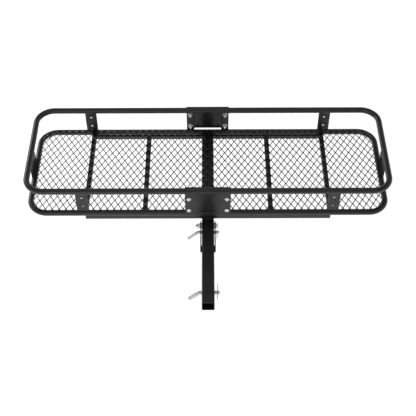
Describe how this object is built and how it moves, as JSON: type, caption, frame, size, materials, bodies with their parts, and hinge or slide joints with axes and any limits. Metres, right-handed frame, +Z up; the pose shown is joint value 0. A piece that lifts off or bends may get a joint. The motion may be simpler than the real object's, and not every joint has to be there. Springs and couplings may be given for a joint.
{
  "type": "hitch cargo carrier",
  "caption": "Folding hitch-mounted steel cargo basket with mesh floor, double tube rails, square shank, hinge and bent lock and hitch pins.",
  "frame": {"origin": "centre of the hitch-pin hole, on the shank's axis", "axes": "+X right along the basket's length, +Y from the vehicle to the basket, +Z up"},
  "size_m": [1.524, 0.941, 0.253],
  "materials": {
    "powder_coat": "satin black powder coat",
    "mesh": "satin black powder coat on expanded metal",
    "zinc": "bright zinc plate",
    "pin_steel": "dull zinc plate",
    "spring_wire": "zinc-plated spring wire"
  },
  "bodies": {
    "shank": {"shank_tube": "powder_coat", "hinge_plate_left": "powder_coat", "hinge_plate_right": "powder_coat", "hinge_shims": "powder_coat", "pivot_bolt": "zinc", "pivot_nut": "zinc", "pivot_washers": "zinc", "pivot_spacers": "zinc"},
    "basket": {"upper_rail_left": "powder_coat", "upper_rail_right": "powder_coat", "lower_rail_left": "powder_coat", "lower_rail_right": "powder_coat", "cross_member_mid_left": "powder_coat", "cross_member_outer_left": "powder_coat", "cross_member_inner_left": "powder_coat", "cross_member_mid_right": "powder_coat", "cross_member_outer_right": "powder_coat", "cross_member_inner_right": "powder_coat", "under_bar_front": "powder_coat", "under_bar_rear": "powder_coat", "mesh_floor_left": "mesh", "mesh_floor_right": "mesh", "centre_plate_front": "powder_coat", "centre_plate_rear": "powder_coat", "post_front_left": "powder_coat", "post_front_right": "powder_coat", "post_rear_left": "powder_coat", "post_rear_right": "powder_coat", "side_plate_front_left": "powder_coat", "side_plate_front_right": "powder_coat", "side_plate_rear_left": "powder_coat", "side_plate_rear_right": "powder_coat", "end_angle_left": "powder_coat", "end_angle_right": "powder_coat", "plate_bolts_front": "zinc", "plate_nuts_front": "zinc", "plate_bolts_rear": "zinc", "plate_nuts_rear": "zinc", "main_bar": "powder_coat", "pivot_sleeve": "powder_coat"},
    "lock_pin": {"lock_pin": "pin_steel"},
    "lock_clip": {"lock_clip": "spring_wire"},
    "hitch_pin": {"hitch_pin": "pin_steel"},
    "hitch_clip": {"hitch_clip": "spring_wire"}
  },
  "joints": [
    {"name": "fold", "type": "hinge", "parent": "shank", "child": "basket", "pos_m": [0, 0.336, 0.0127], "axis": [1, 0, 0], "range_deg": [0, 90]},
    {"name": "lock_pin_slide", "type": "slide", "parent": "shank", "child": "lock_pin", "axis": [-1, 0, 0], "range_m": [0, 0.085]},
    {"name": "hitch_pin_slide", "type": "slide", "parent": "shank", "child": "hitch_pin", "axis": [-1, 0, 0], "range_m": [0, 0.08]},
    {"name": "lock_clip_pull", "type": "slide", "parent": "shank", "child": "lock_clip", "axis": [0, 0, -1], "range_m": [0, 0.045]},
    {"name": "hitch_clip_pull", "type": "slide", "parent": "shank", "child": "hitch_clip", "axis": [0, 0, -1], "range_m": [0, 0.07]}
  ]
}
